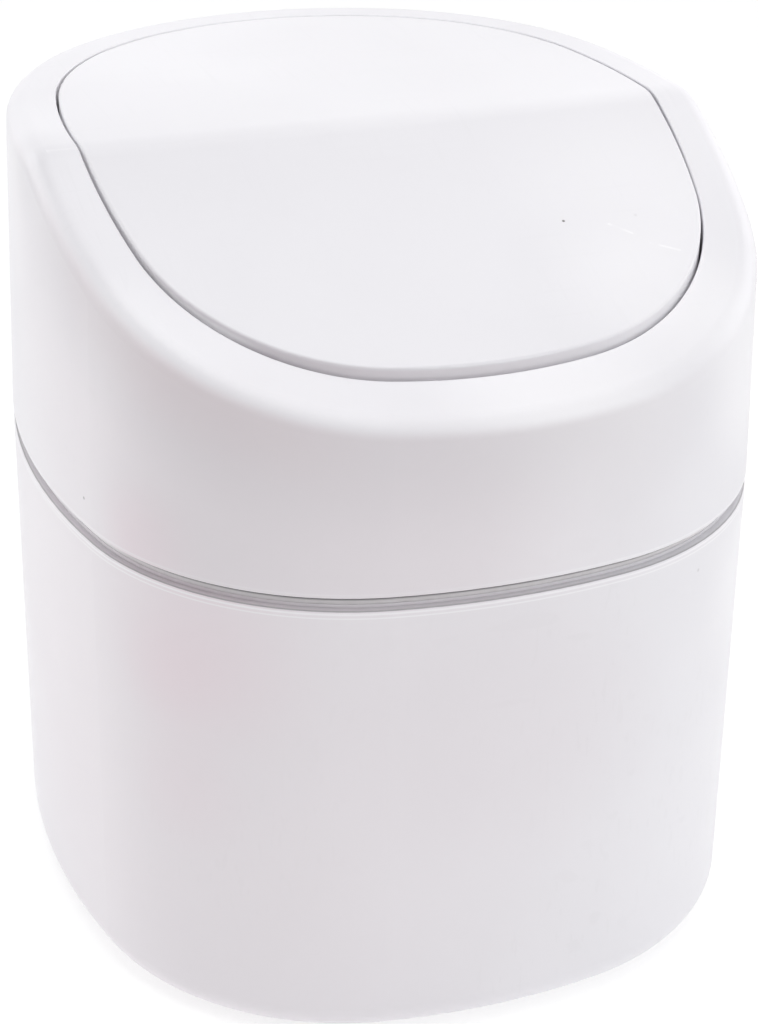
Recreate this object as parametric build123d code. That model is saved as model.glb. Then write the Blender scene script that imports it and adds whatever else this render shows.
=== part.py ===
from build123d import *
import os
from math import atan, atan2, cos, degrees, hypot, radians, sin, sqrt, tan

# Countertop trash can with a swing lid.  Millimetres, +Z up.
# The origin is the middle of the footprint, on the surface that the feet stand on.
# X runs from side to side, along the flap's pivot axis, and the front faces -Y.

# --- Plan outline, measured at the head's lower edge: four long arcs and four corner arcs ---
half_width = 65.0
half_depth = 74.6
widest_y = -3.3
side_radius = 142.4
front_end_radius = 120.0
rear_end_excess = 3.8
front_corner_margin = 14.2
rear_corner_margin = 7.8

# --- Heights ---
foot_proud = 0.7
bucket_height = 86.2
seam_height = 2.3
head_height = 58.8

# --- Bucket ---
bucket_wall = 2.0
bucket_floor = 2.2
bucket_inset = 0.05
bucket_taper = 0.2
base_fillet = 5.6
rim_fillet = 0.6

# --- Seam: the bucket's step and the ring's flange both stand back from the outline ---
seam_recess = 1.4
step_height = 0.65
flange_fillet = 0.2

# --- Bag ring ---
ring_wall = 1.6
neck_depth = 15.0
spigot_height = 9.0
neck_lead = 0.6

# --- Head ---
head_wall = 2.0
head_skin = 2.2
head_draft = 1.5
head_slope = 22.9
crease_y = -4.2
crease_radius = 11.0
sharpest_crease = 1.0
shoulder_fillet = 4.4
lower_fillet = 0.4
land_width = 10.6
opening_corner_step = 9.1
opening_fillet = 0.3
collar_wall = 1.6
collar_below_flap = 4.0

# --- Flap ---
flap_rise = 1.8
flap_depth = 7.0
flap_skin = 1.6
flap_skirt = 1.6
flap_fillet = 0.5
tray_thickness = 1.4

# --- Flap pivot ---
pin_diameter = 3.0
bush_wall = 0.95
bush_length = 5.4
bush_flange_radius = 3.5
bush_flange_thickness = 0.8
boss_wall = 2.0
ear_thickness = 3.0
ear_wall = 2.4
spacer_wall = 1.15
spacer_gap = 0.5

# --- Counterweight in the rear of the flap ---
weight_length = 58.0
weight_width = 12.0
weight_headroom = 0.4
weight_rear_margin = 3.5
pocket_rib = 1.0
pocket_rib_height = 2.2

# --- Soft stops under the flap's rear edge ---
stop_spacing = 44.0
stop_width = 11.0
stop_reach = 5.0
stop_thickness = 2.0
pad_width = 9.0
pad_length = 3.6
pad_thickness = 1.2

# --- Screws that hold the tray to the cover: pan heads on straight shanks ---
screw_shank_radius = 0.9
screw_head_radius = 1.9
screw_head_height = 1.2
screw_bite = 2.2
screw_recess_length = 2.2
screw_recess_width = 0.5
screw_recess_depth = 0.6
screw_post_radius = 2.6
rear_screw_side_margin = 14.0
rear_screw_end_margin = 39.0
front_screw_side_margin = 22.0
front_screw_end_margin = 23.0

# --- Feet ---
foot_radius = 5.0
foot_thickness = 1.4
foot_fillet = 0.3
foot_margin = 35.0

# --- Clearances ---
slip_clearance = 0.4
running_clearance = 0.05
press_clearance = 0.04
side_play = 0.3
swing_clearance = 0.04
stop_clearance = 0.2
drop_in_clearance = 0.2

# --- Plan radii that follow the width ---
rear_end_radius = half_width + rear_end_excess
front_corner_radius = half_width - front_corner_margin
rear_corner_radius = half_width - rear_corner_margin
opening_front_corner_radius = front_corner_radius - opening_corner_step
opening_rear_corner_radius = rear_corner_radius - opening_corner_step

# --- Levels and places that follow from the sizes above ---
base_z = foot_proud
rim_z = base_z + bucket_height
step_z = rim_z + step_height
edge_z = rim_z + seam_height
top_z = edge_z + head_height
bucket_draft = degrees(atan(bucket_taper / bucket_height))
opening_half_width = half_width - land_width
opening_half_depth = half_depth - land_width
flap_slope = degrees(atan(tan(radians(head_slope)) - flap_rise / (opening_half_depth + crease_y)))
bush_radius = pin_diameter / 2 + running_clearance + bush_wall
boss_radius = bush_radius + boss_wall
boss_end = opening_half_width + bush_length
spacer_radius = pin_diameter / 2 + spacer_wall
pivot_drop = (flap_depth + spacer_radius + spacer_gap) / cos(radians(head_slope))
swing_bow = pivot_drop**2 / (2 * (side_radius - land_width))
flap_gap = swing_clearance + swing_bow
tray_inset = flap_gap + flap_skirt + drop_in_clearance
ear_face = opening_half_width - tray_inset
ear_radius = pin_diameter / 2 + ear_wall
pivot_z = top_z - pivot_drop
pivot_y = crease_y
collar_depth = flap_depth + collar_below_flap
stop_top = top_z - flap_depth - stop_clearance - pad_thickness
tray_top_drop = flap_depth - tray_thickness
weight_thickness = tray_top_drop - flap_skin - weight_headroom
foot_x, foot_y = half_width - foot_margin, half_depth - foot_margin

# --- How far a cutting solid reaches past what it cuts ---
overcut = 1.0
far = 2 * (half_width + half_depth)


def body_plan(inset):
    """The body's plan outline as a face at z = 0, moved inwards by inset."""
    return plan_face(0, front_corner_radius, rear_corner_radius, inset)


def opening_plan(inset):
    """The head opening's plan outline as a face at z = 0, moved inwards by inset."""
    return plan_face(land_width, opening_front_corner_radius, opening_rear_corner_radius, inset)


def plan_face(setback, front_corner, rear_corner, inset):
    """Rounded rectangle of tangent arcs, set back from the body's outline: bowed sides and ends."""
    side_x = half_width - side_radius
    front_end_y = front_end_radius - half_depth
    rear_end_y = half_depth - rear_end_radius
    front_x, front_y, front_side, front_end = corner_arc(-1, front_end_radius, front_corner, setback)
    rear_x, rear_y, rear_side, rear_end = corner_arc(1, rear_end_radius, rear_corner, setback)
    side_r = side_radius - setback - inset
    front_r = front_end_radius - setback - inset
    rear_r = rear_end_radius - setback - inset
    front_corner_r, rear_corner_r = front_corner - inset, rear_corner - inset
    side_turn = front_side + rear_side
    edges = [
        CenterArc((side_x, widest_y), side_r, -front_side, side_turn),
        CenterArc((rear_x, rear_y), rear_corner_r, rear_side, rear_end - rear_side),
        CenterArc((0, rear_end_y), rear_r, rear_end, 180 - 2 * rear_end),
        CenterArc((-rear_x, rear_y), rear_corner_r, 180 - rear_end, rear_end - rear_side),
        CenterArc((-side_x, widest_y), side_r, 180 - rear_side, side_turn),
        CenterArc((-front_x, front_y), front_corner_r, 180 + front_side, front_end - front_side),
        CenterArc((0, front_end_y), front_r, 180 + front_end, 180 - 2 * front_end),
        CenterArc((front_x, front_y), front_corner_r, 360 - front_end, front_end - front_side),
    ]
    return Face(Wire(edges))


def corner_arc(sign, end_radius, corner, setback):
    """Centre of a right-hand corner arc, and where it meets its neighbours as angles from +X."""
    side_x = half_width - side_radius
    end_offset = half_depth - end_radius - sign * widest_y
    span = hypot(side_x, end_offset)
    side_reach = side_radius - setback - corner
    end_reach = end_radius - setback - corner
    along = (side_reach**2 - end_reach**2 + span**2) / (2 * span)
    across = sqrt(side_reach**2 - along**2)
    corner_x = side_x * (1 - along / span) - across * end_offset / span
    corner_offset = end_offset * along / span - across * side_x / span
    side_angle = degrees(atan2(corner_offset, corner_x - side_x))
    end_angle = degrees(atan2(corner_offset - end_offset, corner_x))
    return corner_x, widest_y + sign * corner_offset, side_angle, end_angle


def prism(face, low, high, draft=0.0):
    """Upright solid on a plan face between two levels, narrowing upwards by the draft angle."""
    return extrude(Pos(0, 0, low) * face, high - low, taper=draft)


def below_top(drop, slope=head_slope):
    """Everything under the roof line: flat at the rear, sloping at the front, lowered by drop."""
    half_turn = tan(radians(slope / 2))
    bend = max(crease_radius - drop, sharpest_crease) * half_turn
    bend_y = crease_y + drop * half_turn
    level = top_z - drop
    run, fall = cos(radians(slope)), sin(radians(slope))
    flat_end = (bend_y + bend, level)
    slope_start = (bend_y - bend * run, level - bend * fall)
    slope_end = (bend_y - far * run, level - far * fall)
    walls = Polyline(slope_start, slope_end, (slope_end[0], -far), (far, -far), (far, level), flat_end)
    crease = TangentArc(flat_end, slope_start, tangent=(-1, 0))
    across = Plane(origin=(0, 0, 0), x_dir=(0, 1, 0), z_dir=(1, 0, 0))
    return extrude(across * make_face(walls + crease), far, both=True)


def roof_slab(face, top_drop, bottom_drop, top_slope=head_slope):
    """The part of an upright column that lies between two roof surfaces."""
    column = prism(face, base_z, top_z + overcut)
    return (column & below_top(top_drop, top_slope)) - below_top(bottom_drop)


def roof_edges(solid):
    """The edges where the roof meets the walls: curved ones with a roof face on one side."""
    roof_faces = solid.faces().filter_by(lambda face: face.normal_at().Z > 0.5)
    lines = [edge for face in roof_faces for edge in face.edges()]
    return ShapeList(lines).filter_by(GeomType.LINE, reverse=True)


def column(radius, low, high, place):
    """Upright cylinder between two levels at a point of the plan."""
    return Pos(*place, (low + high) / 2) * Cylinder(radius, high - low)


def side_rod(radius, start_x, end_x, y, z):
    """Cylinder along X between two distances from the middle."""
    return Pos((start_x + end_x) / 2, y, z) * Rot(0, 90, 0) * Cylinder(radius, end_x - start_x)


def block(x, y, z):
    """Box given by its low and high limits along each axis."""
    size = (x[1] - x[0], y[1] - y[0], z[1] - z[0])
    return Pos((x[0] + x[1]) / 2, (y[0] + y[1]) / 2, (z[0] + z[1]) / 2) * Box(*size)


def mirrored(solid):
    """The same piece on the left-hand side."""
    return mirror(solid, about=Plane.YZ)


def bucket_inset_at(level):
    """How far the bucket's outer face stands in from the plan outline at a level."""
    return bucket_inset + bucket_taper * (rim_z - level) / bucket_height


def head_inset_at(level):
    """How far the head's inner face stands in from the plan outline at a level."""
    return head_wall + (level - edge_z) * tan(radians(head_draft))


def foot_places():
    """The four feet's names and places in plan."""
    for y_sign, end in ((-1, "front"), (1, "rear")):
        for x_sign, side in ((-1, "left"), (1, "right")):
            yield f"foot_{end}_{side}", (x_sign * foot_x, y_sign * foot_y)


def make_foot(place):
    """A soft disc set into the base, standing proud of it by foot_proud."""
    foot = column(foot_radius, 0, foot_thickness, place)
    return fillet(foot.edges().group_by(Axis.Z)[0], foot_fillet)


def make_bucket():
    """Open tub with a rounded foot, a rounded rim and a step inside the rim for the ring."""
    shell = prism(body_plan(bucket_inset_at(base_z)), base_z, rim_z, -bucket_draft)
    shell = fillet(shell.edges().group_by(Axis.Z)[0], base_fillet)
    shell = fillet(shell.edges().group_by(Axis.Z)[-1], rim_fillet)
    shell += prism(body_plan(seam_recess), rim_z - bucket_wall, step_z)
    floor_z = base_z + bucket_floor
    hollow = prism(body_plan(bucket_inset_at(floor_z) + bucket_wall), floor_z, rim_z, -bucket_draft)
    hollow = fillet(hollow.edges().group_by(Axis.Z)[0], base_fillet - bucket_wall)
    mouth = prism(body_plan(bucket_inset + bucket_wall), rim_z, step_z)
    bucket = shell - hollow - mouth
    for _, place in foot_places():
        bucket -= column(foot_radius + drop_in_clearance / 2, 0, foot_thickness, place)
    return bucket


def make_bag_ring():
    """Neck that clamps the bag in the bucket, flange on the bucket's step, spigot for the head."""
    neck_low = rim_z - neck_depth
    spigot_top = edge_z + spigot_height
    bucket_side = bucket_inset_at(neck_low) + bucket_wall
    neck_inset = max(bucket_side, head_inset_at(spigot_top)) + slip_clearance
    flange = prism(body_plan(seam_recess), step_z, edge_z)
    flange = fillet(flange.edges().group_by(Axis.Z)[0], flange_fillet)
    flange = fillet(flange.edges().group_by(Axis.Z)[-1], flange_fillet)
    neck = prism(body_plan(neck_inset), neck_low, spigot_top)
    neck = chamfer(neck.edges().group_by(Axis.Z)[0], neck_lead)
    neck = chamfer(neck.edges().group_by(Axis.Z)[-1], neck_lead)
    return flange + neck - prism(body_plan(neck_inset + ring_wall), neck_low, spigot_top)


def make_head():
    """Housing with a flat and sloping roof, a collar round the opening, bosses and stops."""
    outside = prism(body_plan(0), edge_z, top_z + overcut, head_draft) & below_top(0)
    outside = fillet(roof_edges(outside), shoulder_fillet)
    outside = fillet(outside.edges().group_by(Axis.Z)[0], lower_fillet)
    inside = prism(body_plan(head_wall), edge_z, top_z + overcut, head_draft) & below_top(head_skin)
    inside = fillet(roof_edges(inside), shoulder_fillet - head_wall)
    head = outside - inside
    head += roof_slab(opening_plan(-collar_wall), head_skin / 2, collar_depth)
    boss = make_boss() & outside
    head = head + boss + mirrored(boss)
    head -= prism(opening_plan(0), base_z, top_z + overcut)
    head = fillet(opening_rim(head), opening_fillet)
    bore = make_bush_seat()
    return head + make_stops() - bore - mirrored(bore)


def opening_rim(head):
    """The roof's edges that lie along the opening's wall."""
    near_opening = prism(opening_plan(-opening_fillet), base_z, top_z + overcut)
    return roof_edges(head).filter_by(lambda edge: near_opening.is_inside(edge @ 0.5))


def make_boss():
    """Lug on the collar that hangs from the roof and holds the right-hand bush."""
    lug = side_rod(boss_radius, opening_half_width, boss_end, pivot_y, pivot_z)
    hanger_y = (pivot_y - boss_radius, pivot_y + boss_radius)
    lug += block((opening_half_width, boss_end), hanger_y, (pivot_z, top_z))
    return lug & below_top(head_skin / 2)


def make_bush_seat():
    """Bore and flange recess for the right-hand bush, open at both ends."""
    seat_start = opening_half_width - opening_fillet
    seat_end = boss_end + drop_in_clearance
    recess_end = opening_half_width + bush_flange_thickness + press_clearance
    seat = side_rod(bush_radius + press_clearance, seat_start, seat_end, pivot_y, pivot_z)
    return seat + side_rod(
        bush_flange_radius + press_clearance, seat_start, recess_end, pivot_y, pivot_z
    )


def make_bush():
    """Flanged bush for the right-hand pin, flush with the opening's wall."""
    bush = side_rod(bush_radius, opening_half_width, boss_end, pivot_y, pivot_z)
    flange_end = opening_half_width + bush_flange_thickness
    bush += side_rod(bush_flange_radius, opening_half_width, flange_end, pivot_y, pivot_z)
    bore_radius = pin_diameter / 2 + running_clearance
    bore_start, bore_end = opening_half_width - overcut, boss_end + overcut
    return bush - side_rod(bore_radius, bore_start, bore_end, pivot_y, pivot_z)


def rear_ledge(width, outer_inset, inner_inset, low, high):
    """Short ledge at the opening's rear, right of the middle, that follows the opening's curve."""
    middle = stop_spacing / 2
    span = block((middle - width / 2, middle + width / 2), (0, far), (low, high))
    outer = prism(opening_plan(outer_inset), low, high)
    return (span & outer) - prism(opening_plan(inner_inset), low, high)


def make_stops():
    """The two ledges that stop the flap's rear edge."""
    low = stop_top - stop_thickness
    right = rear_ledge(stop_width, -collar_wall / 2, stop_reach, low, stop_top)
    return right + mirrored(right)


def make_stop_pad():
    """Soft pad on the right-hand ledge, just under the flap."""
    pad_top = stop_top + pad_thickness
    return rear_ledge(pad_width, flap_gap, flap_gap + pad_length, stop_top, pad_top)


def screw_frames():
    """A frame on the roof surface for each tray screw, with +Z out of the roof."""
    rear_x, rear_y = ear_face - rear_screw_side_margin, opening_half_depth - rear_screw_end_margin
    front_x, front_y = ear_face - front_screw_side_margin, front_screw_end_margin - opening_half_depth
    front_z = top_z - (crease_y - front_y) * tan(radians(head_slope))
    for sign in (-1, 1):
        yield Pos(sign * rear_x, rear_y, top_z)
        yield Pos(sign * front_x, front_y, front_z) * Rot(head_slope, 0, 0)


def roof_rod(frame, radius, low, high):
    """Cylinder square to the roof, between two heights over the roof surface."""
    return frame * Pos(0, 0, (low + high) / 2) * Cylinder(radius, high - low)


def make_flap_cover():
    """Outer skin and skirt of the flap, with posts inside for the tray's screws."""
    outside = roof_slab(opening_plan(flap_gap), 0, flap_depth, flap_slope)
    outside = fillet(roof_edges(outside), flap_fillet)
    inner = prism(opening_plan(flap_gap + flap_skirt), base_z, top_z)
    cover = outside - (inner & below_top(flap_skin, flap_slope))
    in_skin = below_top(flap_skin / 2, flap_slope)
    pilot_radius = screw_shank_radius + press_clearance
    for frame in screw_frames():
        cover += roof_rod(frame, screw_post_radius, -tray_top_drop, flap_depth) & in_skin
        cover -= roof_rod(frame, pilot_radius, -flap_depth, screw_bite - tray_top_drop)
    return cover


def make_flap_tray():
    """Inner skin of the flap, with an ear and spacer at each pin and a pocket for the weight."""
    tray = roof_slab(opening_plan(tray_inset), tray_top_drop, flap_depth)
    ear = make_ear() & below_top(tray_top_drop)
    tray = tray + ear + mirrored(ear) + make_pocket()
    bore_start = ear_face - ear_thickness - overcut
    bore = side_rod(pin_diameter / 2 + press_clearance, bore_start, opening_half_width, pivot_y, pivot_z)
    tray = tray - bore - mirrored(bore)
    hole_radius = screw_shank_radius + drop_in_clearance
    for frame in screw_frames():
        tray -= roof_rod(frame, hole_radius, -flap_depth - overcut, overcut - tray_top_drop)
    return tray


def make_ear():
    """Right-hand ear that hangs from the tray, with the spacer that faces the bush."""
    ear_start = ear_face - ear_thickness
    ear = side_rod(ear_radius, ear_start, ear_face, pivot_y, pivot_z)
    ear += block((ear_start, ear_face), (pivot_y - ear_radius, pivot_y + ear_radius), (pivot_z, top_z))
    return ear + side_rod(spacer_radius, ear_face, opening_half_width - side_play, pivot_y, pivot_z)


def weight_outline(margin, edge_inset, low, high):
    """The counterweight's bar, grown by a margin and kept inside the flap's curve."""
    rear = opening_half_depth - tray_inset - weight_rear_margin + margin
    front = rear - weight_width - 2 * margin
    reach = weight_length / 2 + margin
    bar = block((-reach, reach), (front, rear), (low, high))
    return bar & prism(opening_plan(edge_inset), low, high)


def make_pocket():
    """Rib frame on the tray, round the counterweight."""
    low = top_z - flap_depth + tray_thickness / 2
    high = top_z - flap_depth + tray_thickness + pocket_rib_height
    margin = drop_in_clearance
    outer = weight_outline(margin + pocket_rib, tray_inset, low, high)
    return outer - weight_outline(margin, tray_inset + pocket_rib, low, high)


def make_counterweight():
    """Steel bar that lies on the tray, in its pocket."""
    low = top_z - flap_depth + tray_thickness
    return weight_outline(0, tray_inset + pocket_rib + drop_in_clearance, low, low + weight_thickness)


def make_flap_pin():
    """Right-hand pivot pin, pressed into the ear and turning in the bush."""
    return side_rod(pin_diameter / 2, ear_face - ear_thickness, boss_end - side_play, pivot_y, pivot_z)


def make_tray_screws():
    """The pan-head screws, driven up through the tray into the cover's posts."""
    head_low = -flap_depth - screw_head_height
    slot = Box(screw_recess_length, screw_recess_width, 2 * screw_recess_depth)
    screws = []
    for frame in screw_frames():
        screw = roof_rod(frame, screw_head_radius, head_low, -flap_depth)
        screw += roof_rod(frame, screw_shank_radius, -flap_depth, screw_bite - tray_top_drop)
        for turn in (0, 90):
            screw -= frame * Pos(0, 0, head_low) * Rot(0, 0, turn) * slot
        screws.append(screw.solid())
    return Compound(children=screws)


def make_pieces():
    """Every piece of the bin under its own name."""
    bush, pad, pin = make_bush(), make_stop_pad(), make_flap_pin()
    pieces = {
        "bucket": make_bucket(),
        "bag_ring": make_bag_ring(),
        "head_shell": make_head(),
        "flap_bush_right": bush,
        "flap_bush_left": mirrored(bush),
        "stop_pad_right": pad,
        "stop_pad_left": mirrored(pad),
        "flap_cover": make_flap_cover(),
        "flap_tray": make_flap_tray(),
        "counterweight": make_counterweight(),
        "flap_pin_right": pin,
        "flap_pin_left": mirrored(pin),
        "tray_screws": make_tray_screws(),
    }
    for name, place in foot_places():
        pieces[name] = make_foot(place)
    return pieces


os.makedirs("parts", exist_ok=True)
for piece_name, piece in make_pieces().items():
    export_step(piece, f"parts/{piece_name}.step")
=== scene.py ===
import math

import bpy
from mathutils import Matrix, Vector

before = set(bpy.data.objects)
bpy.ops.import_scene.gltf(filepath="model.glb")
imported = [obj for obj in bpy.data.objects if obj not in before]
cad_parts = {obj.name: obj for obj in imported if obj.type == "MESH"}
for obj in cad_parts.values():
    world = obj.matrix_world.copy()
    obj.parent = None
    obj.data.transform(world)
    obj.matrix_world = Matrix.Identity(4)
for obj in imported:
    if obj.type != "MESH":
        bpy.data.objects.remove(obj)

for startObject in ("Cube", "Light", "Camera"):    # Blender's own start scene
    if startObject in bpy.data.objects:
        bpy.data.objects.remove(bpy.data.objects[startObject])
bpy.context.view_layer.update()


# node helpers

colourSockets = {"first": 6, "second": 7, "result": 2}    # of a Mix node that mixes colours
numberOutputs = ("LENGTH", "DISTANCE", "DOT_PRODUCT")    # vector sums that come out as one number


def addNode(tree, kind, **settings):
    node = tree.nodes.new(kind)
    for key, value in settings.items():
        setattr(node, key, value)
    return node


def feed(tree, socket, value):    # a socket is linked, a plain value is typed in
    if isinstance(value, bpy.types.NodeSocket):
        tree.links.new(value, socket)
    else:
        socket.default_value = value


def calc(tree, operation, *values, clamp=False):
    node = addNode(tree, "ShaderNodeMath", operation=operation, use_clamp=clamp)
    for socket, value in zip(node.inputs, values):
        feed(tree, socket, value)
    return node.outputs[0]


def vectorCalc(tree, operation, *values):
    node = addNode(tree, "ShaderNodeVectorMath", operation=operation)
    for socket, value in zip(node.inputs, values):
        feed(tree, socket, value)
    return node.outputs["Value" if operation in numberOutputs else "Vector"]


def spread(tree, value, low, high, newLow=0.0, newHigh=1.0):    # a clamped, eased map range
    node = addNode(tree, "ShaderNodeMapRange", interpolation_type="SMOOTHSTEP")
    feed(tree, node.inputs["Value"], value)
    feed(tree, node.inputs["From Min"], low)
    feed(tree, node.inputs["From Max"], high)
    feed(tree, node.inputs["To Min"], newLow)
    feed(tree, node.inputs["To Max"], newHigh)
    return node.outputs["Result"]


def noise(tree, vector, scale, detail=2.0, rough=0.5):
    node = addNode(tree, "ShaderNodeTexNoise")
    feed(tree, node.inputs["Vector"], vector)
    feed(tree, node.inputs["Scale"], scale)
    node.inputs["Detail"].default_value = detail
    node.inputs["Roughness"].default_value = rough
    return node.outputs["Fac"]


def cells(tree, vector, scale):    # gives each cell's distance and its own random colour
    node = addNode(tree, "ShaderNodeTexVoronoi")
    feed(tree, node.inputs["Vector"], vector)
    feed(tree, node.inputs["Scale"], scale)
    return node.outputs["Distance"], node.outputs["Color"]


def redOf(tree, colour):    # one random number out of a random colour
    node = addNode(tree, "ShaderNodeSeparateColor")
    feed(tree, node.inputs[0], colour)
    return node.outputs[0]


def partOf(tree, vector, axis):
    node = addNode(tree, "ShaderNodeSeparateXYZ")
    feed(tree, node.inputs[0], vector)
    return node.outputs[axis]


def stretched(tree, vector, scale):
    node = addNode(tree, "ShaderNodeMapping")
    feed(tree, node.inputs["Vector"], vector)
    node.inputs["Scale"].default_value = scale
    return node


def mixColour(tree, factor, first, second):
    node = addNode(tree, "ShaderNodeMix", data_type="RGBA", blend_type="MIX")
    feed(tree, node.inputs["Factor"], factor)
    for end, value in (("first", first), ("second", second)):
        isSocket = isinstance(value, bpy.types.NodeSocket)
        feed(tree, node.inputs[colourSockets[end]], value if isSocket else (*value, 1.0))
    return node.outputs[colourSockets["result"]]


def startGroup(name, inputs, *outputs):
    tree = bpy.data.node_groups.new(name, "ShaderNodeTree")
    for label, value in inputs.items():
        kind = "NodeSocketVector" if isinstance(value, tuple) else "NodeSocketFloat"
        tree.interface.new_socket(name=label, in_out="INPUT", socket_type=kind).default_value = value
    for label in outputs:
        tree.interface.new_socket(name=label, in_out="OUTPUT", socket_type="NodeSocketFloat")
    return tree, addNode(tree, "NodeGroupInput").outputs, addNode(tree, "NodeGroupOutput").inputs


# shared effects

origin = (0.0, 0.0, 0.0)
straightUp = (0.0, 0.0, 1.0)
levelOnly = (1.0, 1.0, 0.0)    # takes the height out of a direction
mouldSet = {
    "grainNoise": (3.0, 0.6),    # detail and roughness
    "waveNoise": (1.0, 0.4),
    "waveShare": 0.5,
    "toneSpread": (0.35, 0.65),
}


def makeMouldGrain():    # the matt skin of a spark-eroded mould, and the slow waviness of the wall
    tree, given, out = startGroup("mouldGrain", {
        "vector": origin,
        "grainScale": 2000.0, "grainDepth": 0.005,
        "waveScale": 60.0, "waveDepth": 0.03,
    }, "height", "tone")
    grain = noise(tree, given["vector"], given["grainScale"], *mouldSet["grainNoise"])
    wave = noise(tree, given["vector"], given["waveScale"], *mouldSet["waveNoise"])
    fine = calc(tree, "MULTIPLY", grain, given["grainDepth"])
    feed(tree, out["height"], calc(tree, "MULTIPLY_ADD", wave, given["waveDepth"], fine))
    share = mouldSet["waveShare"]
    tone = calc(tree, "MULTIPLY_ADD", grain, 1.0 - share, calc(tree, "MULTIPLY", wave, share))
    feed(tree, out["tone"], spread(tree, tone, *mouldSet["toneSpread"]))
    return tree


hairlineSet = {
    "stretches": ((1.0, 34.0, 6.0), (26.0, 1.0, 5.0)),    # the two ways that the rubs lie
    "shift": (0.31, 0.17),
    "lineNoise": (1.0, 0.3),    # detail and roughness
    "edge": 0.05,
    "patchScale": 22.0,
    "patchDetail": 1.0,
    "patchSpread": (0.42, 0.62),
}


def makeHairlines():    # short fine rub marks, in patches
    tree, given, out = startGroup("hairlines", {
        "vector": origin, "scale": 40.0, "turn": (0.0, 0.0, 0.4), "sparse": 0.7,
    }, "mask")
    layers = []
    for step, stretch in enumerate(hairlineSet["stretches"]):
        lay = stretched(tree, given["vector"], stretch)
        feed(tree, lay.inputs["Rotation"], given["turn"])
        right, back = hairlineSet["shift"]
        lay.inputs["Location"].default_value = (right * step, back * step, 0.0)
        lines = noise(tree, lay.outputs["Vector"], given["scale"], *hairlineSet["lineNoise"])
        full = calc(tree, "ADD", given["sparse"], hairlineSet["edge"])
        layers.append(spread(tree, lines, given["sparse"], full))
    clouds = noise(tree, given["vector"], hairlineSet["patchScale"], hairlineSet["patchDetail"])
    patch = spread(tree, clouds, *hairlineSet["patchSpread"])
    feed(tree, out["mask"], calc(tree, "MULTIPLY", calc(tree, "MAXIMUM", *layers), patch))
    return tree


def makeSpecks():    # rare dark grains of pigment under the skin
    tree, given, out = startGroup("specks", {
        "vector": origin, "scale": 60.0, "size": 0.01, "share": 0.05,
    }, "mask")
    distance, randomColour = cells(tree, given["vector"], given["scale"])
    near = calc(tree, "LESS_THAN", distance, given["size"])
    chosen = calc(tree, "LESS_THAN", redOf(tree, randomColour), given["share"])
    feed(tree, out["mask"], calc(tree, "MULTIPLY", near, chosen))
    return tree


def makeSpot():    # one soft round mark at a given place
    tree, given, out = startGroup("spot", {
        "vector": origin, "centre": origin, "inner": 0.0001, "outer": 0.0003,
    }, "mask")
    away = vectorCalc(tree, "DISTANCE", given["vector"], given["centre"])
    feed(tree, out["mask"], spread(tree, away, given["inner"], given["outer"], 1.0, 0.0))
    return tree


strokeSet = {"core": 0.4, "breakScale": 320.0, "breakDetail": 1.0, "breakSpread": (0.25, 0.5)}


def makeStroke():    # one straight broken scratch between two places
    tree, given, out = startGroup("stroke", {
        "vector": origin, "start": origin, "end": (0.0, 0.0, 0.01), "width": 0.0002,
    }, "mask")
    along = vectorCalc(tree, "SUBTRACT", given["end"], given["start"])
    offset = vectorCalc(tree, "SUBTRACT", given["vector"], given["start"])
    reached = vectorCalc(tree, "DOT_PRODUCT", offset, along)
    share = calc(tree, "DIVIDE", reached, vectorCalc(tree, "DOT_PRODUCT", along, along), clamp=True)
    step = addNode(tree, "ShaderNodeVectorMath", operation="SCALE")
    feed(tree, step.inputs[0], along)
    feed(tree, step.inputs["Scale"], share)
    away = vectorCalc(tree, "DISTANCE", offset, step.outputs[0])
    core = calc(tree, "MULTIPLY", given["width"], strokeSet["core"])
    line = spread(tree, away, core, given["width"], 1.0, 0.0)
    grit = noise(tree, given["vector"], strokeSet["breakScale"], strokeSet["breakDetail"])
    feed(tree, out["mask"], calc(tree, "MULTIPLY", line, spread(tree, grit, *strokeSet["breakSpread"])))
    return tree


dustAndShadeSet = {"fleckNoise": (4.0, 0.65), "fleckSpread": (0.35, 0.7)}    # detail and roughness, then range


def makeSettledDustAndShade():    # greyer low down, with a ragged upper edge
    tree, given, out = startGroup("settledDustAndShade", {
        "vector": origin, "low": 0.0, "high": 0.01, "scale": 300.0,
    }, "mask")
    depth = spread(tree, partOf(tree, given["vector"], "Z"), given["low"], given["high"], 1.0, 0.0)
    grit = noise(tree, given["vector"], given["scale"], *dustAndShadeSet["fleckNoise"])
    flecks = spread(tree, grit, *dustAndShadeSet["fleckSpread"])
    feed(tree, out["mask"], calc(tree, "MULTIPLY", depth, flecks))
    return tree


def outwardOf(tree, vector):    # the level direction from the middle of the bin to the point
    return vectorCalc(tree, "NORMALIZE", vectorCalc(tree, "MULTIPLY", vector, levelOnly))


outerWall = -0.2    # a mark on a wall stops where the wall turns further away than this


def makeSeamLine():    # painted shade and painted highlights along a level joint line, on the outside of the wall only
    tree, given, out = startGroup("seamLine", {
        "vector": origin, "normal": straightUp, "level": 0.0, "reach": 0.0002,
    }, "mask")
    above = calc(tree, "SUBTRACT", partOf(tree, given["vector"], "Z"), given["level"])
    line = spread(tree, calc(tree, "ABSOLUTE", above), 0.0, given["reach"], 1.0, 0.0)
    turned = vectorCalc(tree, "DOT_PRODUCT", outwardOf(tree, given["vector"]), given["normal"])
    facing = calc(tree, "GREATER_THAN", turned, outerWall)
    feed(tree, out["mask"], calc(tree, "MULTIPLY", line, facing))
    return tree


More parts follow.
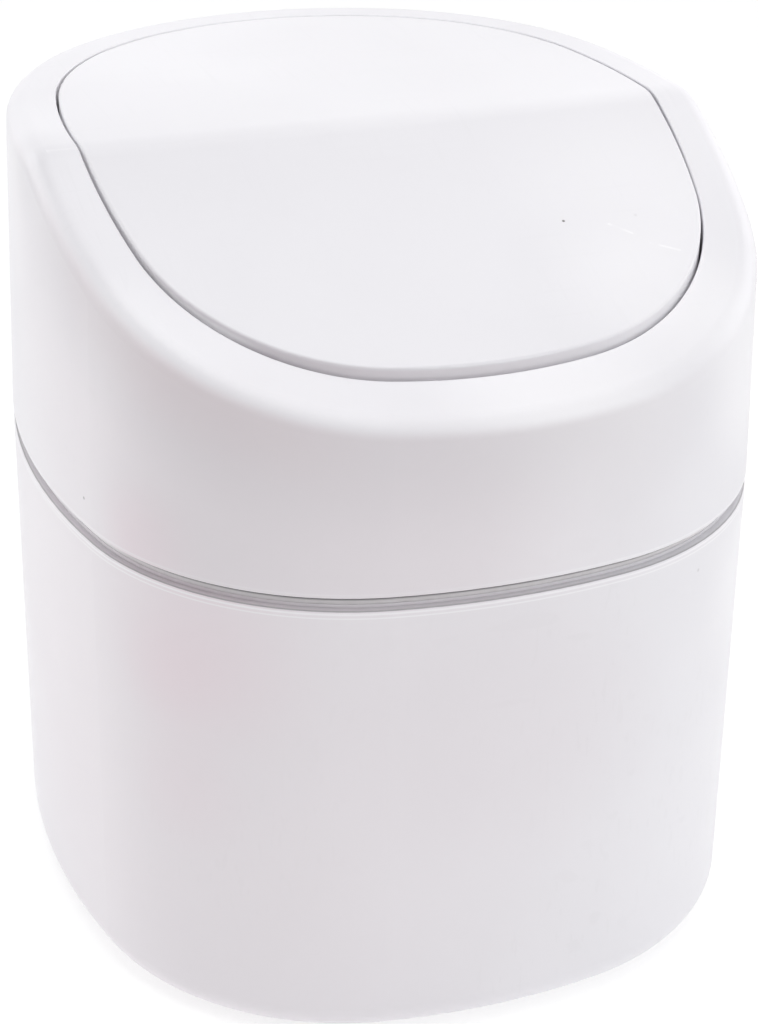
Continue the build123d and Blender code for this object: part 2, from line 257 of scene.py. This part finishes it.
def makeCreaseBand():    # a level band with a long soft lower edge
    tree, given, out = startGroup("creaseBand", {
        "vector": origin, "low": 0.0, "middle": 0.01, "high": 0.02,
    }, "mask")
    height = partOf(tree, given["vector"], "Z")
    rise = spread(tree, height, given["low"], given["middle"])
    fall = spread(tree, height, given["middle"], given["high"], 1.0, 0.0)
    feed(tree, out["mask"], calc(tree, "MULTIPLY", rise, fall))
    return tree


roof = {    # flat behind the crease, sloping down in front of it
    "top": 0.148,
    "crease": -0.0042,
    "headSlope": 0.4224,
    "coverSlope": 0.3923,
}


def makeShoulderShade():    # a band on a wall, counted down from the roof surface and kept to one side
    tree, given, out = startGroup("shoulderShade", {
        "vector": origin, "normal": straightUp,
        "top": roof["top"], "crease": roof["crease"], "slope": roof["headSlope"],
        "start": 0.002, "full": 0.004, "end": 0.03,    # depths below the roof
        "toward": (-0.45, -0.89, 0.0), "sideLow": 0.5, "sideHigh": 0.95,    # the side it is kept to
        "outside": 1.0, "facing": outerWall,    # outside is -1 for a wall that faces inwards
    }, "mask")
    split = addNode(tree, "ShaderNodeSeparateXYZ")
    feed(tree, split.inputs[0], given["vector"])
    forward = calc(tree, "MINIMUM", calc(tree, "SUBTRACT", split.outputs["Y"], given["crease"]), 0.0)
    height = calc(tree, "MULTIPLY_ADD", forward, given["slope"], given["top"])
    depth = calc(tree, "SUBTRACT", height, split.outputs["Z"])
    rise = spread(tree, depth, given["start"], given["full"])
    fall = spread(tree, depth, given["full"], given["end"], 1.0, 0.0)
    outward = outwardOf(tree, given["vector"])
    swing = vectorCalc(tree, "DOT_PRODUCT", outward, given["toward"])
    side = spread(tree, swing, given["sideLow"], given["sideHigh"])
    turned = vectorCalc(tree, "DOT_PRODUCT", outward, given["normal"])
    turned = calc(tree, "MULTIPLY", turned, given["outside"])
    facing = calc(tree, "GREATER_THAN", turned, given["facing"])
    band = calc(tree, "MULTIPLY", rise, fall)
    feed(tree, out["mask"], calc(tree, "MULTIPLY", band, calc(tree, "MULTIPLY", side, facing)))
    return tree


groups = {
    "grain": makeMouldGrain(),
    "hairlines": makeHairlines(),
    "specks": makeSpecks(),
    "spot": makeSpot(),
    "stroke": makeStroke(),
    "dustAndShade": makeSettledDustAndShade(),
    "seam": makeSeamLine(),
    "crease": makeCreaseBand(),
    "shoulder": makeShoulderShade(),
}
print("shared effects made")


# what every material is put together from

def useGroup(tree, name, place, **values):
    node = addNode(tree, "ShaderNodeGroup", node_tree=groups[name])
    feed(tree, node.inputs["vector"], place)
    if "normal" in node.inputs:    # from the same Texture Coordinate node as the place
        feed(tree, node.inputs["normal"], place.node.outputs["Normal"])
    for label, value in values.items():
        feed(tree, node.inputs[label], value)
    return node.outputs


def mark(kind, amount, tint, **values):    # a shared effect, how strong it is, and its colour in tints
    return kind, amount, tint, values


def layOver(tree, colour, mask, amount, tint):
    return mixColour(tree, calc(tree, "MULTIPLY", mask, amount), colour, tint)


def addMarks(tree, place, colour, marks):
    for kind, amount, tint, values in marks:
        mask = useGroup(tree, kind, place, **values)["mask"]
        colour = layOver(tree, colour, mask, amount, tints[tint])
    return colour


def addGrain(tree, place, finish):
    wanted = ("grainScale", "grainDepth", "waveScale", "waveDepth")
    return useGroup(tree, "grain", place, **{label: finish[label] for label in wanted})


ownTrees = []    # of the materials that this script makes


def startMaterial(name):
    material = bpy.data.materials.new(name)
    material.use_nodes = True
    tree = material.node_tree
    ownTrees.append(tree)
    place = addNode(tree, "ShaderNodeTexCoord").outputs["Object"]
    return material, tree, tree.nodes["Principled BSDF"], place


def bumpFrom(tree, shader, height, distance):
    bump = addNode(tree, "ShaderNodeBump")
    bump.inputs["Distance"].default_value = distance
    feed(tree, bump.inputs["Height"], height)
    feed(tree, shader.inputs["Normal"], bump.outputs["Normal"])


def dress(material, *names):
    for name in names:
        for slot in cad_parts[name].material_slots:
            slot.material = material


# white satin polypropylene: bucket, head and flap cover

shellFinish = {
    "colour": (0.84, 0.83, 0.865),
    "paleColour": (0.875, 0.865, 0.9),
    "cloudScale": 14.0,
    "cloudSpread": (0.35, 0.65),
    "roughness": (0.34, 0.44),
    "ior": 1.49,
    "grainScale": 1900.0,
    "grainDepth": 0.006,
    "waveScale": 45.0,
    "waveDepth": 0.05,
    "bumpDistance": 0.001,
    "rub": {"scale": 42.0, "sparse": 0.66},
    "rubColour": (0.70, 0.69, 0.71),
    "rubAmount": 0.10,
    "rubShine": 0.4,    # how much smoother a rub is
    "specks": {"scale": 95.0, "size": 0.014, "share": 0.035},
    "speckColour": (0.10, 0.09, 0.09),
    "speckAmount": 0.6,
}


def makeShellPlastic(name, marks):
    finish = shellFinish
    material, tree, shader, place = startMaterial(name)
    grain = addGrain(tree, place, finish)
    cloud = spread(tree, noise(tree, place, finish["cloudScale"]), *finish["cloudSpread"])
    colour = mixColour(tree, cloud, finish["colour"], finish["paleColour"])
    rub = useGroup(tree, "hairlines", place, **finish["rub"])["mask"]
    colour = layOver(tree, colour, rub, finish["rubAmount"], finish["rubColour"])
    specks = useGroup(tree, "specks", place, **finish["specks"])["mask"]
    colour = layOver(tree, colour, specks, finish["speckAmount"], finish["speckColour"])
    feed(tree, shader.inputs["Base Color"], addMarks(tree, place, colour, marks))
    matt = calc(tree, "MULTIPLY_ADD", rub, -finish["rubShine"], grain["tone"])
    feed(tree, shader.inputs["Roughness"], spread(tree, matt, 0.0, 1.0, *finish["roughness"]))
    shader.inputs["IOR"].default_value = finish["ior"]
    bumpFrom(tree, shader, grain["height"], finish["bumpDistance"])
    return material


tints = {
    "paintedRosyCast": (0.905, 0.825, 0.86),    # painted rosy cast of the light on the shaded front left side
    # painted rosy shade of the front left side, and a warmer kind of it
    "paintedRosyShade": (0.895, 0.765, 0.82),
    "paintedWarmRosyShade": (0.97, 0.80, 0.83),
    # dark specks, and painted shade in the seam lines
    "grimeAndPaintedShade": (0.36, 0.35, 0.36),
    "blackGrime": (0.12, 0.11, 0.11),
    # painted shadow line in the seam, just above the rim's rounded edge
    "paintedSeamShadow": (0.20, 0.19, 0.20),
    # painted shadow under the head's lower edge
    "paintedShadowUnderHead": (0.08, 0.075, 0.08),
    # scratches, and painted light and highlights on the shells
    "scuffAndPaintedLight": (0.98, 0.97, 0.995),
    # painted light on the ends of the ring
    "paintedRingLight": (1.0, 0.99, 1.0),
    "shade": (0.785, 0.735, 0.77),
    "shoulderShade": (0.66, 0.625, 0.655),
    "rimShade": (0.68, 0.60, 0.635),
    "edgeShade": (0.70, 0.63, 0.67),
    # painted shade on the head's land and below the cover's crease
    "paintedGreyShade": (0.76, 0.75, 0.785),
    # painted shade over the left side of the cover
    "paintedCoverShade": (0.80, 0.79, 0.825),
}
frontLeft = (-0.45, -0.89, 0.0)
leftCorner = (-0.62, -0.78, 0.0)
sharpCorner = (-0.70, -0.71, 0.0)
flapCorner = (-0.60, -0.80, 0.0)
gapLeft = (-0.82, -0.57, 0.0)
rearLeft = (-0.5, 0.87, 0.0)
uprightWall = 0.35    # the facing that leaves the roof and its crease unmarked

bucketMarks = [
    # painted rosy cast of the light over the front left of the bucket
    mark("spot", 0.45, "paintedRosyCast", centre=(-0.055, -0.050, 0.050), inner=0.020, outer=0.105),
    # painted rosy shade on the front left of the bucket, near the top
    mark("spot", 0.50, "paintedRosyShade", centre=(-0.0500, -0.0565, 0.0755), inner=0.001, outer=0.026),
    mark("spot", 0.30, "paintedRosyShade", centre=(-0.0535, -0.0520, 0.0690), inner=0.001, outer=0.014),
    mark("spot", 0.26, "paintedRosyShade", centre=(-0.0520, -0.0540, 0.0480), inner=0.001, outer=0.016),
    mark("spot", 0.32, "grimeAndPaintedShade", centre=(0.03812, -0.0662, 0.08139), inner=0.0001, outer=0.0005),
    mark("spot", 0.35, "shade", centre=(0.0, -0.075, 0.062), inner=0.008, outer=0.036),
    # painted light on the front right of the bucket
    mark("spot", 0.35, "scuffAndPaintedLight", centre=(0.0535, -0.0525, 0.070), inner=0.003, outer=0.020),
    # painted shade in the seam: on the ledge under it, just above the rim's rounded edge, and faintly
    # at the top of the step
    mark("seam", 0.30, "grimeAndPaintedShade", level=0.08691, reach=0.00012),
    mark("seam", 0.80, "paintedSeamShadow", level=0.08678, reach=0.00014),
    mark("seam", 0.15, "grimeAndPaintedShade", level=0.08755, reach=0.00022),
    # painted highlights along the rim's rounded edge and a little below it
    mark("seam", 0.90, "scuffAndPaintedLight", level=0.08630, reach=0.00030),
    mark("seam", 0.75, "scuffAndPaintedLight", level=0.08555, reach=0.00022),
]
headMarks = [
    # painted rosy cast of the light on the wall below the shoulder, front left
    mark("shoulder", 0.45, "paintedRosyCast", start=0.0008, full=0.0026, end=0.13,
         toward=leftCorner, sideLow=0.3, sideHigh=1.0),
    # painted rosy shade below the front left corner of the shoulder
    mark("shoulder", 0.45, "paintedWarmRosyShade", start=0.0008, full=0.0030, end=0.016,
         toward=sharpCorner, sideLow=0.88, sideHigh=1.0),
    # painted rosy shade low on the front left of the head
    mark("spot", 0.60, "paintedRosyShade", centre=(-0.0560, -0.0475, 0.0930), inner=0.002, outer=0.014),
    mark("spot", 0.75, "grimeAndPaintedShade", centre=(-0.0621, -0.0309, 0.09439), inner=0.00015, outer=0.00042),
    # painted highlight along the head's lower edge
    mark("seam", 0.50, "scuffAndPaintedLight", level=0.0899, reach=0.00030),
    # painted highlights on the front shoulder
    mark("spot", 0.60, "scuffAndPaintedLight", centre=(0.010, -0.067, 0.1235), inner=0.006, outer=0.028),
    mark("spot", 0.60, "scuffAndPaintedLight", centre=(0.037, -0.053, 0.1290), inner=0.004, outer=0.022),
    mark("spot", 0.50, "shade", centre=(-0.046, -0.060, 0.0990), inner=0.006, outer=0.034),
    mark("spot", 0.55, "shade", centre=(-0.016, -0.0735, 0.0960), inner=0.006, outer=0.030),
    # painted light on the front right wall
    mark("spot", 0.50, "scuffAndPaintedLight", centre=(0.0505, -0.0555, 0.1110), inner=0.003, outer=0.020),
    # painted shade on the left land
    mark("spot", 0.42, "paintedGreyShade", centre=(-0.0585, -0.0220, 0.1410), inner=0.010, outer=0.036),
    # painted light on the right land
    mark("spot", 0.14, "scuffAndPaintedLight", centre=(0.0560, -0.0260, 0.1390), inner=0.008, outer=0.026),
    # painted shade at the left rear of the land
    mark("spot", 0.45, "paintedGreyShade", centre=(-0.0630, -0.0025, 0.1455), inner=0.002, outer=0.013),
    # painted light on the wall under the front left shoulder
    mark("spot", 0.28, "scuffAndPaintedLight", centre=(-0.0588, -0.0400, 0.1262), inner=0.002, outer=0.014),
    # painted light on the inner wall of the opening, towards the rear, in the gap
    mark("shoulder", 1.00, "scuffAndPaintedLight", start=0.0001, full=0.0005, end=0.016,
         toward=rearLeft, sideLow=-0.15, sideHigh=0.25, outside=-1.0),
    mark("shoulder", 0.55, "shoulderShade", start=0.0006, full=0.0026, end=0.025, toward=frontLeft),
    # painted light on the inner wall of the opening on the left, in the gap
    mark("shoulder", 0.90, "scuffAndPaintedLight", start=0.0001, full=0.0006, end=0.016,
         toward=gapLeft, sideLow=0.90, sideHigh=0.97, outside=-1.0, facing=uprightWall),
]
coverMarks = [
    # painted light on the flat rear of the cover
    mark("spot", 0.22, "scuffAndPaintedLight", centre=(0.0, 0.036, 0.148), inner=0.034, outer=0.072),
    # painted shade over the left side of the cover
    mark("spot", 0.70, "paintedCoverShade", centre=(-0.050, -0.030, 0.130), inner=0.012, outer=0.080),
    # painted shade just below the crease
    mark("crease", 0.45, "paintedGreyShade", low=0.1330, middle=0.1466, high=0.1479),
    # painted light on the right of the sloping cover
    mark("spot", 0.38, "scuffAndPaintedLight", centre=(0.0460, -0.0260, 0.1380), inner=0.004, outer=0.038),
    mark("spot", 0.38, "scuffAndPaintedLight", centre=(0.0310, -0.0515, 0.1294), inner=0.003, outer=0.021),
    # painted light on the cover's side wall along the gap, towards the rear
    mark("shoulder", 1.00, "scuffAndPaintedLight", slope=roof["coverSlope"], start=0.0002, full=0.0007, end=0.014,
         toward=rearLeft, sideLow=-0.15, sideHigh=0.25),
    mark("shoulder", 0.32, "rimShade", slope=roof["coverSlope"], start=0.0003, full=0.0008, end=0.006,
         toward=frontLeft, sideLow=0.6, sideHigh=1.0, facing=uprightWall),
    mark("shoulder", 0.30, "edgeShade", slope=roof["coverSlope"], start=0.00002, full=0.0002, end=0.003,
         toward=flapCorner, sideLow=0.88, sideHigh=0.99, facing=uprightWall),
    # painted light on the cover's side wall on the left, in the gap
    mark("shoulder", 0.80, "scuffAndPaintedLight", slope=roof["coverSlope"], start=0.0003, full=0.0012, end=0.012,
         toward=gapLeft, sideLow=0.925, sideHigh=0.975, facing=uprightWall),
    mark("spot", 0.95, "blackGrime", centre=(0.02386, -0.03429, 0.1362), inner=0.00015, outer=0.00036),
    mark("spot", 0.14, "grimeAndPaintedShade", centre=(0.03737, -0.03481, 0.13599), inner=0.0001, outer=0.0005),
    mark("stroke", 0.95, "scuffAndPaintedLight", start=(0.03168, -0.03621, 0.13544), end=(0.03487, -0.03893, 0.13437),
         width=0.00034),
    mark("stroke", 0.95, "scuffAndPaintedLight", start=(0.03724, -0.04176, 0.13326), end=(0.04170, -0.04416, 0.13232),
         width=0.00034),
]
dress(makeShellPlastic("bucketWhite", bucketMarks), "bucket")
dress(makeShellPlastic("headWhite", headMarks), "head_shell")
dress(makeShellPlastic("coverWhite", coverMarks), "flap_cover")
print("white shells finished")


# greyer, plainer plastics: bag ring, flap tray, bushes

plainPlastic = {
    "ior": 1.49,
    "bumpDistance": 0.001,
    "cloudScale": 30.0,
    "cloudDetail": 1.0,
    "cloudAmount": 0.10,
    "waveScale": 80.0,
    "waveDepth": 0.02,
    "dustAndShadeScale": 420.0,
    "dustMatt": 0.5,    # how much rougher dust is
    "marks": [],
}
ringFinish = {
    **plainPlastic,
    # the grey colour, and the dust that covers the whole ring below the head, darken the seam band:
    # painted shade of the recess
    "colour": (0.745, 0.72, 0.735),
    "dustAndShadeColour": (0.50, 0.485, 0.49),
    "dustAndShadeAmount": 0.15,
    "dustAndShadeBelow": 0.0925,
    "dustAndShadeRise": 0.002,
    "roughness": (0.42, 0.52),
    "grainScale": 1500.0,
    "grainDepth": 0.008,
    "marks": [
        # painted shadow at the top of the ring, under the head's lower edge
        mark("seam", 0.95, "paintedShadowUnderHead", level=0.0886, reach=0.0005),
        # painted light on the left and right ends of the ring's band
        mark("spot", 0.95, "paintedRingLight", centre=(-0.0625, -0.0120, 0.0880), inner=0.012, outer=0.036),
        mark("spot", 0.95, "paintedRingLight", centre=(0.0540, -0.0500, 0.0880), inner=0.008, outer=0.030),
    ],
}
trayFinish = {
    **plainPlastic,
    "colour": (0.76, 0.755, 0.775),
    "dustAndShadeColour": (0.55, 0.54, 0.53),
    "dustAndShadeAmount": 0.25,
    "dustAndShadeBelow": 0.10,
    "dustAndShadeRise": 0.01,
    "roughness": (0.46, 0.58),
    "grainScale": 1200.0,
    "grainDepth": 0.010,
}
bushFinish = {
    **plainPlastic,
    "colour": (0.80, 0.79, 0.76),
    "dustAndShadeColour": (0.4, 0.39, 0.38),
    "dustAndShadeAmount": 0.35,
    "dustAndShadeBelow": 0.134,
    "dustAndShadeRise": 0.003,
    "roughness": (0.26, 0.36),
    "grainScale": 2600.0,
    "grainDepth": 0.004,
}


def makePlainPlastic(name, finish):
    material, tree, shader, place = startMaterial(name)
    grain = addGrain(tree, place, finish)
    clouds = noise(tree, place, finish["cloudScale"], finish["cloudDetail"])
    cloud = calc(tree, "MULTIPLY", clouds, finish["cloudAmount"])
    colour = mixColour(tree, cloud, finish["colour"], finish["dustAndShadeColour"])
    low, rise = finish["dustAndShadeBelow"], finish["dustAndShadeRise"]
    # on the ring this darkening is painted shade of the seam recess; on the tray and bushes it is dust
    dustAndShade = useGroup(tree, "dustAndShade", place, low=low, high=low + rise, scale=finish["dustAndShadeScale"])["mask"]
    colour = layOver(tree, colour, dustAndShade, finish["dustAndShadeAmount"], finish["dustAndShadeColour"])
    feed(tree, shader.inputs["Base Color"], addMarks(tree, place, colour, finish["marks"]))
    matt = calc(tree, "MULTIPLY_ADD", dustAndShade, finish["dustMatt"], grain["tone"])
    feed(tree, shader.inputs["Roughness"], spread(tree, matt, 0.0, 1.0, *finish["roughness"]))
    shader.inputs["IOR"].default_value = finish["ior"]
    bumpFrom(tree, shader, grain["height"], finish["bumpDistance"])
    return material


dress(makePlainPlastic("ringWhite", ringFinish), "bag_ring")
dress(makePlainPlastic("trayWhite", trayFinish), "flap_tray")
dress(makePlainPlastic("bushAcetal", bushFinish), "flap_bush_left", "flap_bush_right")
print("ring, tray and bushes finished")


# turned stainless pins and screws

steelFinish = {
    "colour": (0.58, 0.575, 0.565),
    "paleColour": (0.70, 0.695, 0.685),
    "roughness": (0.22, 0.38),
    "turnScale": (5200.0, 260.0, 260.0),
    "turnNoise": (3.0, 0.6),    # detail and roughness
    "turnSpread": (0.3, 0.7),
    "bumpDistance": 0.000012,
}


def makeTurnedSteel():
    finish = steelFinish
    material, tree, shader, place = startMaterial("turnedSteel")
    turned = stretched(tree, place, finish["turnScale"]).outputs["Vector"]
    rings = noise(tree, turned, 1.0, *finish["turnNoise"])
    colour = mixColour(tree, rings, finish["colour"], finish["paleColour"])
    feed(tree, shader.inputs["Base Color"], colour)
    rough = spread(tree, rings, *finish["turnSpread"], *finish["roughness"])
    feed(tree, shader.inputs["Roughness"], rough)
    shader.inputs["Metallic"].default_value = 1.0
    bumpFrom(tree, shader, rings, finish["bumpDistance"])
    return material


dress(makeTurnedSteel(), "flap_pin_left", "flap_pin_right", "tray_screws")


# zinc-plated bar of the counterweight

weightFinish = {
    "colour": (0.50, 0.51, 0.53),
    "paleColour": (0.68, 0.69, 0.70),
    "stainColour": (0.33, 0.33, 0.34),
    "roughness": (0.30, 0.52),
    "roughSpread": (0.2, 0.8),
    "spangleScale": 420.0,
    "spangleShare": 0.4,
    "rollScale": (60.0, 1800.0, 1800.0),
    "rollDetail": 2.0,
    "rollShare": 0.6,
    "stainScale": 140.0,
    "stainDetail": 4.0,
    "stainSpread": (0.55, 0.75),
    "stainAmount": 0.5,
    "bumpDistance": 0.00001,
}


def makePlatedBar():
    finish = weightFinish
    material, tree, shader, place = startMaterial("platedBar")
    randomColour = cells(tree, place, finish["spangleScale"])[1]
    spangle = calc(tree, "MULTIPLY", redOf(tree, randomColour), finish["spangleShare"])
    rolled = stretched(tree, place, finish["rollScale"]).outputs["Vector"]
    lines = noise(tree, rolled, 1.0, finish["rollDetail"])
    blend = calc(tree, "MULTIPLY_ADD", lines, finish["rollShare"], spangle)
    colour = mixColour(tree, blend, finish["colour"], finish["paleColour"])
    clouds = noise(tree, place, finish["stainScale"], finish["stainDetail"])
    stain = spread(tree, clouds, *finish["stainSpread"])
    colour = layOver(tree, colour, stain, finish["stainAmount"], finish["stainColour"])
    feed(tree, shader.inputs["Base Color"], colour)
    rough = spread(tree, blend, *finish["roughSpread"], *finish["roughness"])
    feed(tree, shader.inputs["Roughness"], rough)
    shader.inputs["Metallic"].default_value = 1.0
    bumpFrom(tree, shader, lines, finish["bumpDistance"])
    return material


dress(makePlatedBar(), "counterweight")
print("steel finished")


# soft elastomer: stop pads and feet

padFinish = {
    "colour": (0.66, 0.655, 0.665),
    "dirt": {"low": 0.0001, "high": 0.0008, "scale": 900.0},
    "dirtColour": (0.45, 0.43, 0.41),
    "dirtAmount": 0.7,
    "roughness": (0.55, 0.72),
    "ior": 1.45,
    "grainScale": 1700.0,
    "grainDepth": 0.012,
    "waveScale": 220.0,
    "waveDepth": 0.02,
    "bumpDistance": 0.001,
}


def makeSoftPad():
    finish = padFinish
    material, tree, shader, place = startMaterial("softPad")
    grain = addGrain(tree, place, finish)
    dirt = useGroup(tree, "dustAndShade", place, **finish["dirt"])["mask"]
    colour = layOver(tree, finish["colour"], dirt, finish["dirtAmount"], finish["dirtColour"])
    feed(tree, shader.inputs["Base Color"], colour)
    feed(tree, shader.inputs["Roughness"], spread(tree, grain["tone"], 0.0, 1.0, *finish["roughness"]))
    shader.inputs["IOR"].default_value = finish["ior"]
    bumpFrom(tree, shader, grain["height"], finish["bumpDistance"])
    return material


dress(makeSoftPad(), "stop_pad_left", "stop_pad_right",
      "foot_front_left", "foot_front_right", "foot_rear_left", "foot_rear_right")
print("pads and feet finished")


# floor, light and camera

def seenRay(tree):    # 1 for what the eye, a reflection or glass looks at
    path = addNode(tree, "ShaderNodeLightPath")
    seen = calc(tree, "ADD", path.outputs["Is Camera Ray"], path.outputs["Is Glossy Ray"])
    return calc(tree, "ADD", seen, path.outputs["Is Transmission Ray"], clamp=True)


def joinShaders(tree, kind, *shaders):
    node = addNode(tree, kind)
    for socket, shader in zip([s for s in node.inputs if s.type == "SHADER"], shaders):
        feed(tree, socket, shader)
    return node


floorSet = {
    "size": 8.0,
    "drop": 0.0002,    # just clear of the feet
    "albedo": 0.85,
    "sheetGlow": 0.32,
    "seenAlbedo": 0.45,
    "seenGlow": 0.64,
    "farGlow": 0.80,
    "fadeFrom": 0.7,
    "fadeTo": 2.2,
}


def makeFloor():
    bpy.ops.object.select_all(action="DESELECT")
    bpy.ops.mesh.primitive_plane_add(size=floorSet["size"], location=(0.0, 0.0, -floorSet["drop"]))
    floor = bpy.context.object
    floor.name = "studioFloor"
    bpy.ops.object.transform_apply(location=True)
    material, tree, shader, place = startMaterial("paleFloor")
    tree.nodes.remove(shader)
    lit = addNode(tree, "ShaderNodeBsdfDiffuse")    # to the object, the floor is a lit white sheet
    lit.inputs["Color"].default_value = (*(floorSet["albedo"],) * 3, 1.0)
    sheetGlow = addNode(tree, "ShaderNodeEmission")
    sheetGlow.inputs["Strength"].default_value = floorSet["sheetGlow"]
    sheet = joinShaders(tree, "ShaderNodeAddShader", lit.outputs[0], sheetGlow.outputs[0])
    shown = addNode(tree, "ShaderNodeBsdfDiffuse")    # to the eye, it is plain white with a shadow
    shown.inputs["Color"].default_value = (*(floorSet["seenAlbedo"],) * 3, 1.0)
    glow = addNode(tree, "ShaderNodeEmission")
    away = vectorCalc(tree, "LENGTH", place)
    fade = [floorSet[key] for key in ("fadeFrom", "fadeTo", "seenGlow", "farGlow")]
    feed(tree, glow.inputs["Strength"], spread(tree, away, *fade))    # lifted where the lamps fall off
    together = joinShaders(tree, "ShaderNodeAddShader", shown.outputs[0], glow.outputs[0])
    pick = joinShaders(tree, "ShaderNodeMixShader", sheet.outputs[0], together.outputs[0])
    feed(tree, pick.inputs["Fac"], seenRay(tree))
    feed(tree, tree.nodes["Material Output"].inputs["Surface"], pick.outputs[0])
    floor.data.materials.append(material)


worldSet = {"light": 0.10, "seen": 0.84, "tint": (1.0, 1.0, 1.0, 1.0)}


def makeWorld():
    world = bpy.data.worlds.new("studioWorld")
    bpy.context.scene.world = world
    world.use_nodes = True
    tree = world.node_tree
    plain = tree.nodes["Background"]
    white = addNode(tree, "ShaderNodeBackground")
    for node, strength in ((plain, worldSet["light"]), (white, worldSet["seen"])):
        node.inputs["Color"].default_value = worldSet["tint"]
        node.inputs["Strength"].default_value = strength
    pick = joinShaders(tree, "ShaderNodeMixShader", plain.outputs[0], white.outputs[0])
    feed(tree, pick.inputs["Fac"], seenRay(tree))
    feed(tree, tree.nodes["World Output"].inputs["Surface"], pick.outputs[0])


lampSet = {    # place, size, watts
    "topSoftbox": ((0.0, 0.10, 1.15), 0.9, 5.4),
    "highFront": ((0.0, -0.55, 1.1), 0.7, 3.4),
    "frontRight": ((0.7, -1.0, 0.6), 0.7, 4.0),
    "rightSoftbox": ((1.05, 0.15, 0.45), 0.8, 2.25),
    "rearRight": ((0.8, 0.8, 0.5), 0.7, 1.1),
    "rearSoftbox": ((0.0, 1.05, 0.45), 0.8, 0.6),
    "rearLeft": ((-0.8, 0.8, 0.5), 0.7, 4.0),
    "leftSoftbox": ((-1.05, 0.15, 0.45), 0.8, 1.9),
}
lampAim = Vector((0.0, 0.0, 0.08))


def standHolder(name, data, place, turn):    # for a lamp or the camera
    holder = bpy.data.objects.new(name, data)
    bpy.context.collection.objects.link(holder)
    holder.location = place
    holder.rotation_mode = "QUATERNION"
    holder.rotation_quaternion = turn
    return holder


def makeLamps():
    for name, (place, size, watts) in lampSet.items():
        lamp = bpy.data.lights.new(name, "AREA")
        lamp.shape = "SQUARE"
        lamp.size = size
        lamp.energy = watts
        standHolder(name, lamp, place, (Vector(place) - lampAim).to_track_quat("Z", "Y"))


cameraSet = {
    "azimuth": -20.34,
    "elevation": 26.27,
    "distance": 0.49552,
    "roll": 0.87,
    "lens": 90.68,
    "sensor": 36.0,
    "clip": (0.01, 50.0),
    "aim": (0.00188, -0.00401, 0.06915),
}


def makeCamera():
    turn, tilt = math.radians(cameraSet["azimuth"]), math.radians(cameraSet["elevation"])
    back = Vector((math.sin(turn) * math.cos(tilt), -math.cos(turn) * math.cos(tilt), math.sin(tilt)))
    lens = bpy.data.cameras.new("studioCamera")
    lens.lens = cameraSet["lens"]
    lens.sensor_width = cameraSet["sensor"]
    lens.clip_start, lens.clip_end = cameraSet["clip"]
    place = Vector(cameraSet["aim"]) + back * cameraSet["distance"]
    roll = Matrix.Rotation(math.radians(cameraSet["roll"]), 3, "Z").to_quaternion()
    aimed = back.to_track_quat("Z", "Y") @ roll
    bpy.context.scene.camera = standHolder("studioCamera", lens, place, aimed)


makeFloor()
makeWorld()
makeLamps()
makeCamera()
bpy.context.scene.view_settings.view_transform = "Standard"
print("floor, light and camera ready")


# node editor layout

columnStep, rowStep = 220, 180


def arrange(tree):    # each node stands at least one column to the left of what it feeds
    column = {node.name: 0 for node in tree.nodes}
    moved = True
    while moved:
        moved = False
        for link in tree.links:
            wanted = column[link.to_node.name] + 1
            if column[link.from_node.name] < wanted:
                column[link.from_node.name] = wanted
                moved = True
    filled = {}
    for node in tree.nodes:
        row = filled.get(column[node.name], 0)
        filled[column[node.name]] = row + 1
        node.location = (-columnStep * column[node.name], -rowStep * row)


for tree in [*groups.values(), bpy.context.scene.world.node_tree, *ownTrees]:
    arrange(tree)
print("node trees laid out")
